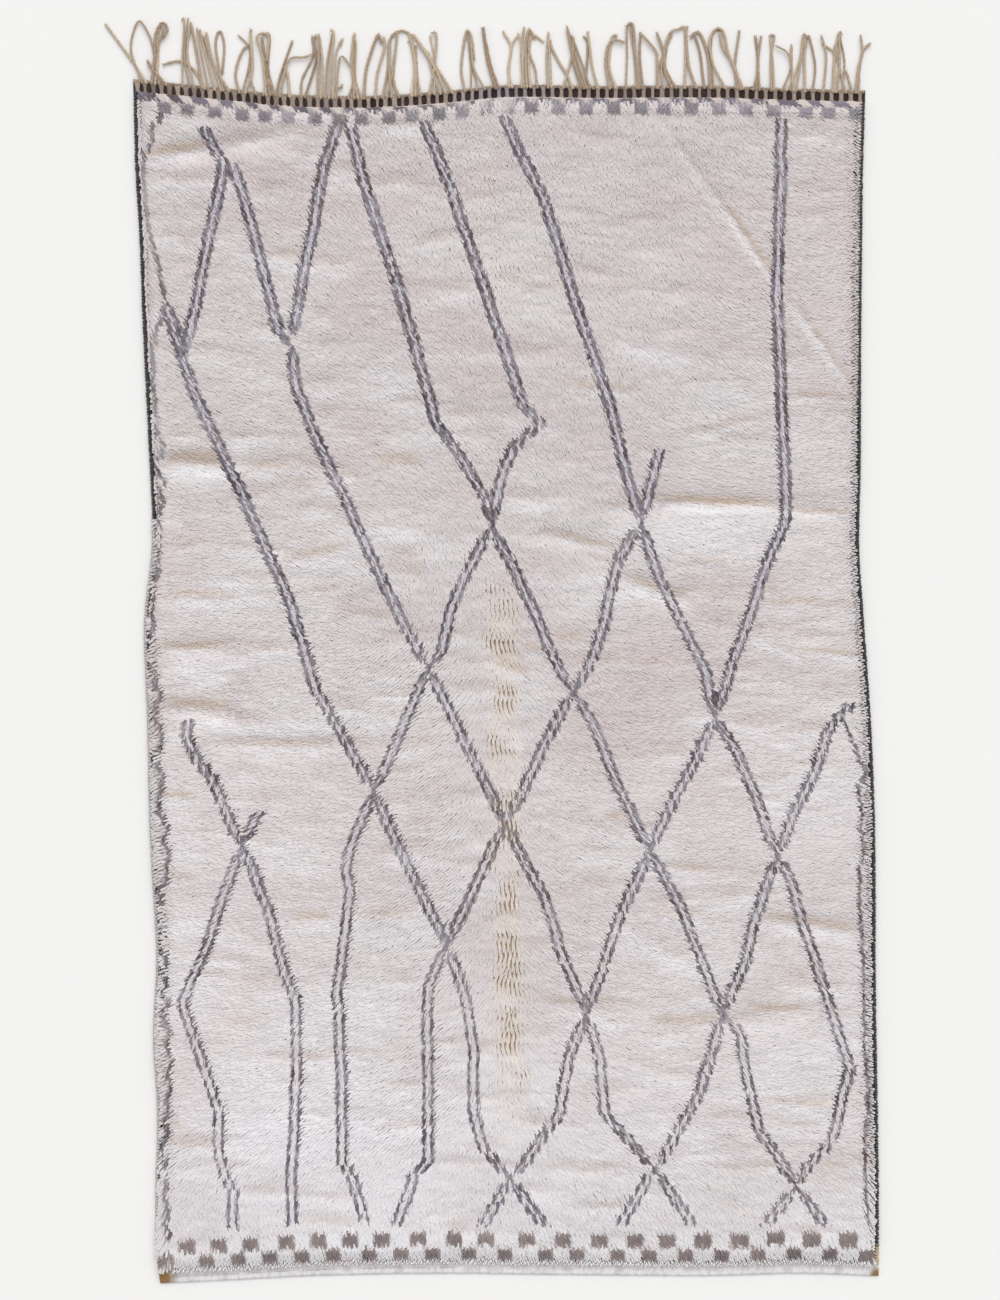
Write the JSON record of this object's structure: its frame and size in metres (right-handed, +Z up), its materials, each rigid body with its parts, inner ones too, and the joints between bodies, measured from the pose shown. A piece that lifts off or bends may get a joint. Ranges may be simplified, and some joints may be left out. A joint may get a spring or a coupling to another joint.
{
  "type": "beni mrirt rug",
  "caption": "Hand-knotted wool rug with thick ivory pile, a lozenge net of doubled lines, ribbed heading, warp fringe, dark selvedges and a flatwoven end band.",
  "frame": {"origin": "centre of the rug's bounding box, fringe included, on the underside that lies on the floor", "axes": "+Z up out of the pile; +Y along the rug towards the fringed end; +X across it, to the right seen from above with the fringe at the top"},
  "size_m": [1.7099, 2.789, 0.0267],
  "materials": {
    "ivory_pile": "long matt wool pile, ivory, with charted grey-brown lines",
    "heading_wool": "flatwoven ribs, beige over near-black weft",
    "ivory_flatweave": "fine plain weave, ivory wool",
    "dark_selvedge": "charcoal wool, overcast",
    "warp_wool": "twisted undyed wool warp, tan"
  },
  "bodies": {
    "root": {"pile_field": "ivory_pile", "heading_band": "heading_wool", "end_band": "ivory_flatweave", "selvedge_left": "dark_selvedge", "selvedge_right": "dark_selvedge", "fringe": "warp_wool"}
  },
  "joints": []
}
